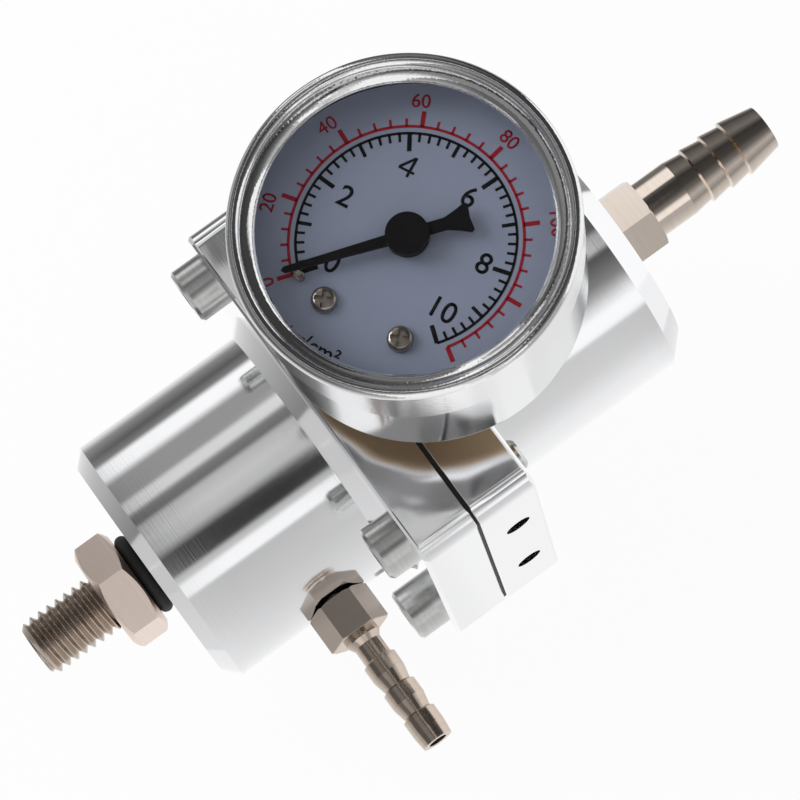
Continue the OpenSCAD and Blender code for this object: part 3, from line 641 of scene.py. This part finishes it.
def polar(r, degrees):
    return r * math.cos(math.radians(degrees)), r * math.sin(math.radians(degrees))


def upright(up_degrees):
    """The turn that gives letters their up direction."""
    return Matrix.Rotation(math.radians(up_degrees - 90), 2)


def add_plate(shape, outline):
    """A thin closed plate on the dial from its outline."""
    under = [shape.verts.new(dial_point(x, y, PRINT_LIFT)) for x, y in outline]
    over = [shape.verts.new(dial_point(x, y, PRINT_LIFT + PRINT_THICKNESS)) for x, y in outline]
    shape.faces.new(over)
    shape.faces.new(under[::-1])
    for i in range(len(outline)):
        j = (i + 1) % len(outline)
        shape.faces.new((under[i], under[j], over[j], over[i]))


def add_arc(shape, r, width, start, end):
    steps = max(2, math.ceil(abs(end - start) / ARC_STEP))
    angles = [start + (end - start) * i / steps for i in range(steps + 1)]
    outer = [polar(r + width / 2, a) for a in angles]
    inner = [polar(r - width / 2, a) for a in angles]
    add_plate(shape, outer + inner[::-1])


def add_tick(shape, r_from, r_to, width, degrees):
    x, y = polar(1, degrees)
    side = Vector((-y, x)) * width / 2
    ends = [Vector((x, y)) * r for r in (r_from, r_to)]
    add_plate(shape, [tuple(p) for p in (ends[0] + side, ends[0] - side, ends[1] - side, ends[1] + side)])


def tick_size(ticks, value):
    """Length and width of a tick: those of the first step that divides its value."""
    return next((length, width) for step, length, width in ticks if value % step == 0)


def font_letters(words, weight):
    """Flat letters of the built-in font at size 1, as a bmesh."""
    curve = bpy.data.curves.new("words", "FONT")
    curve.body = words
    curve.align_x = "CENTER"
    curve.size = 1.0
    curve.offset = weight
    holder = bpy.data.objects.new("words", curve)
    bpy.context.scene.collection.objects.link(holder)
    bpy.context.view_layer.update()
    mesh = bpy.data.meshes.new_from_object(holder.evaluated_get(bpy.context.evaluated_depsgraph_get()))
    bpy.data.objects.remove(holder)
    bpy.data.curves.remove(curve)
    letters = bmesh.new()
    letters.from_mesh(mesh)
    bpy.data.meshes.remove(mesh)
    bmesh.ops.remove_doubles(letters, verts=letters.verts, dist=LETTER_MERGE)
    return letters


def add_text(shape, words, height, r, degrees, up_degrees, numeral=True, weight=PRINT_WEIGHT):
    """Words centred at a place on the dial, with their own up direction and a height for their digits."""
    letters = font_letters(words, weight)
    xs = [v.co.x for v in letters.verts]
    ys = [v.co.y for v in letters.verts]
    middle = Vector(((min(xs) + max(xs)) / 2, (min(ys) + max(ys)) / 2))
    digit_height = max(ys) - min(ys) if numeral else DIGIT_HEIGHT
    scale = height / digit_height
    turn = upright(up_degrees)
    place = Vector(polar(r, degrees))
    shell = bmesh.ops.extrude_face_region(letters, geom=letters.faces[:])
    raised = {v for v in shell["geom"] if isinstance(v, bmesh.types.BMVert)}
    for v in letters.verts:
        flat = turn @ ((v.co.xy - middle) * scale) + place
        lift = PRINT_LIFT + (PRINT_THICKNESS if v in raised else 0)
        v.co = dial_point(flat.x, flat.y, lift)
    finished = bpy.data.meshes.new("letters")
    letters.to_mesh(finished)
    letters.free()
    shape.from_mesh(finished)
    bpy.data.meshes.remove(finished)


def add_four(shape, height, r, degrees, up_degrees):
    """A bold 4 from plates."""
    turn = upright(up_degrees)
    place = Vector(polar(r, degrees))
    for outline in FOUR_PLATES:
        add_plate(shape, [tuple(turn @ ((Vector(p) - FOUR_MIDDLE) * height) + place) for p in outline])


def unit_angle(value):
    return ZERO_ANGLE + DEGREES_PER_UNIT * value


def psi_angle(value):
    return unit_angle(value / PSI_PER_UNIT)


def finish_print(name, shape, material):
    piece = mesh_piece(name, shape, material)
    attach(piece, "housing")


def print_black(material):
    """The inner scale, 0 to 10, with its numerals and its unit."""
    shape = bmesh.new()
    add_arc(shape, BLACK_ARC_R, BLACK_ARC_W, unit_angle(0), unit_angle(SCALE_END))
    for tick in range(SCALE_END * BLACK_TICKS_PER_UNIT + 1):
        length, width = tick_size(BLACK_TICKS, tick)
        add_tick(shape, BLACK_ARC_R, BLACK_ARC_R - length, width, unit_angle(tick / BLACK_TICKS_PER_UNIT))
    for value in range(0, SCALE_END + 1, BLACK_NUMERAL_STEP):
        out, turn = BLACK_NUMERAL_MOVES.get(value, (0, 0))
        place = BLACK_NUMERAL_H, BLACK_NUMERAL_R + out, unit_angle(value) + turn, DIAL_UP
        if value == PLATE_NUMERAL:
            add_four(shape, *place)
        else:
            add_text(shape, str(value), *place)
    add_text(shape, UNIT_WORDS, UNIT_H, UNIT_R, DIAL_UP + 180 + UNIT_TURN, DIAL_UP, numeral=False)
    finish_print("dial_black_print", shape, material)


def print_red(material):
    """The outer scale, 0 to 140, with its numerals set along the arc."""
    shape = bmesh.new()
    add_arc(shape, RED_ARC_R, RED_ARC_W, psi_angle(0), psi_angle(PSI_END))
    for value in range(0, PSI_END + 1, RED_TICK_STEP):
        length, width = tick_size(RED_TICKS, value)
        add_tick(shape, RED_ARC_R, RED_ARC_R + length, width, psi_angle(value))
    for value in range(0, RED_NUMERAL_END + 1, RED_NUMERAL_STEP):
        angle = psi_angle(value) + (RED_NUMERAL_LEAD - RED_NUMERAL_TURN * value if value else 0)
        out = RED_NUMERAL_LAST_OUT if value == RED_NUMERAL_END else 0
        weight = 0 if value == THIN_NUMERAL else PRINT_WEIGHT
        add_text(shape, str(value), RED_NUMERAL_H, RED_NUMERAL_R + out, angle, angle, weight=weight)
    finish_print("dial_red_print", shape, material)


# Finishes
def make_metals():
    """The metals by name, for the nodes and the screw."""
    # The vacuum barb's hex is darkened beyond its start as painted shade
    hex_painted_shade = VACUUM_MOUTH + VACUUM_BARB_LENGTH, ((0.46, 0.395, 0.345), (0.36, 0.305, 0.265))
    return {
        "aluminium": metal(
            "polished_aluminium", light=(0.97, 0.97, 0.98), dark=(0.935, 0.94, 0.955), rough=(0.07, 0.12),
            lines_per_metre=5000, line_depth=1.5e-6, relief=front_waves, relief_depth=WAVE_DEPTH),
        "nickel": metal(
            "nickel_plate", light=(0.91, 0.80, 0.71), dark=(0.82, 0.71, 0.62), rough=(0.05, 0.10),
            lines_per_metre=1500, line_depth=1.0e-6),
        "thread": metal(
            "nickel_thread", light=(0.64, 0.55, 0.48), dark=(0.52, 0.44, 0.38), rough=(0.20, 0.32),
            lines_per_metre=1500, line_depth=1.0e-6),
        "satin": metal(
            "nickel_satin", light=(0.94, 0.79, 0.71), dark=(0.83, 0.69, 0.61), rough=(0.24, 0.36),
            lines_per_metre=2200, line_depth=2.5e-6, relief=fine_grain, relief_depth=5.0e-6),
        # The vacuum barb's nickel is darker than the fuel barb's, as painted shade
        "shaded_cross": metal(
            "nickel_cross_painted_shade", light=(0.72, 0.61, 0.52), dark=(0.60, 0.50, 0.42), rough=(0.15, 0.25),
            lines_per_metre=1500, line_depth=1.5e-6, axis="X", painted_shade=hex_painted_shade),
        "dull": metal(
            "nickel_dull", light=(0.45, 0.40, 0.36), dark=(0.36, 0.32, 0.28), rough=(0.18, 0.30),
            lines_per_metre=1500, line_depth=1.5e-6, axis="Y"),
        "zinc": metal(
            "zinc_plate", light=(0.74, 0.75, 0.735), dark=(0.64, 0.65, 0.635), rough=(0.18, 0.30),
            lines_per_metre=1800, line_depth=2.0e-6),
        "brass": metal(
            "brass", light=(0.80, 0.60, 0.30), dark=(0.70, 0.50, 0.23), rough=(0.16, 0.28),
            lines_per_metre=1500, line_depth=1.5e-6, axis="Y"),
        "steel": metal(
            "spring_steel", light=(0.50, 0.51, 0.53), dark=(0.40, 0.41, 0.43), rough=(0.22, 0.35),
            lines_per_metre=900, line_depth=1.0e-6),
        "case": case_steel(),
        "chrome": bezel_chrome(),
    }


def make_coats():
    """The rubber, the paints, the inks and the glass by name."""
    return {
        "rubber": coated(
            "black_rubber", light=(0.008, 0.008, 0.008), dark=(0.016, 0.016, 0.016), rough=(0.48, 0.65),
            grain_scale=9000, grain_depth=4.0e-6),
        "black": coated(
            "pointer_black", light=(0.003, 0.003, 0.004), dark=(0.006, 0.006, 0.007), rough=(0.38, 0.50),
            grain_scale=12000, grain_depth=1.5e-6, gloss=0.12),
        # The dial is a pale paint; this darker blue-grey stands in for the shade inside the gauge, as
        # painted shade
        "white": coated(
            "dial_paint_painted_shade", light=(0.245, 0.275, 0.365), dark=(0.225, 0.255, 0.345), rough=(0.40, 0.50),
            grain_scale=7000, grain_depth=1.0e-6, gloss=0.2),
        "ink": coated(
            "black_ink", light=(0.003, 0.003, 0.004), dark=(0.006, 0.006, 0.007), rough=(0.45, 0.60),
            grain_scale=9000, grain_depth=5.0e-7, gloss=0.12),
        "red": coated(
            "red_ink", light=(0.30, 0.010, 0.022), dark=(0.26, 0.008, 0.018), rough=(0.45, 0.60),
            grain_scale=9000, grain_depth=5.0e-7, gloss=0.12),
        "glass": lens_glass(),
    }


NODE_FINISHES = {
    "bonnet": "aluminium", "body": "aluminium", "cap_screws": "zinc", "diaphragm": "rubber",
    "upper_plate": "steel", "valve_plate": "brass", "valve_seat": "brass", "main_spring": "steel",
    "spring_seat": "steel", "lock_nut": "satin", "sealing_washer": "rubber", "fuel_barb": "nickel",
    "vacuum_barb": "shaded_cross", "gauge_socket": "brass", "gauge_case": "case", "gauge_bezel": "chrome",
    "lens_seal": "rubber", "gauge_lens": "glass", "gauge_dial": "white", "dial_screws": "dull",
    "stop_pin": "dull", "pointer": "black", "pointer_arbor": "brass", "sector_gear": "brass",
    "movement_link": "brass", "movement_frame": "brass", "bourdon_tube": "brass",
}


def dress():
    """The finish of every node, then the pieces that this script adds."""
    finishes = make_metals() | make_coats()
    for name, finish in NODE_FINISHES.items():
        nodes[name].data.materials.clear()
        nodes[name].data.materials.append(finishes[finish])
    make_screw(finishes["thread"])
    print_black(finishes["ink"])
    print_red(finishes["red"])


make_world()
make_floor()
make_cards()
make_lamp()
make_camera()
dress()
bpy.context.scene.view_settings.view_transform = "Standard"
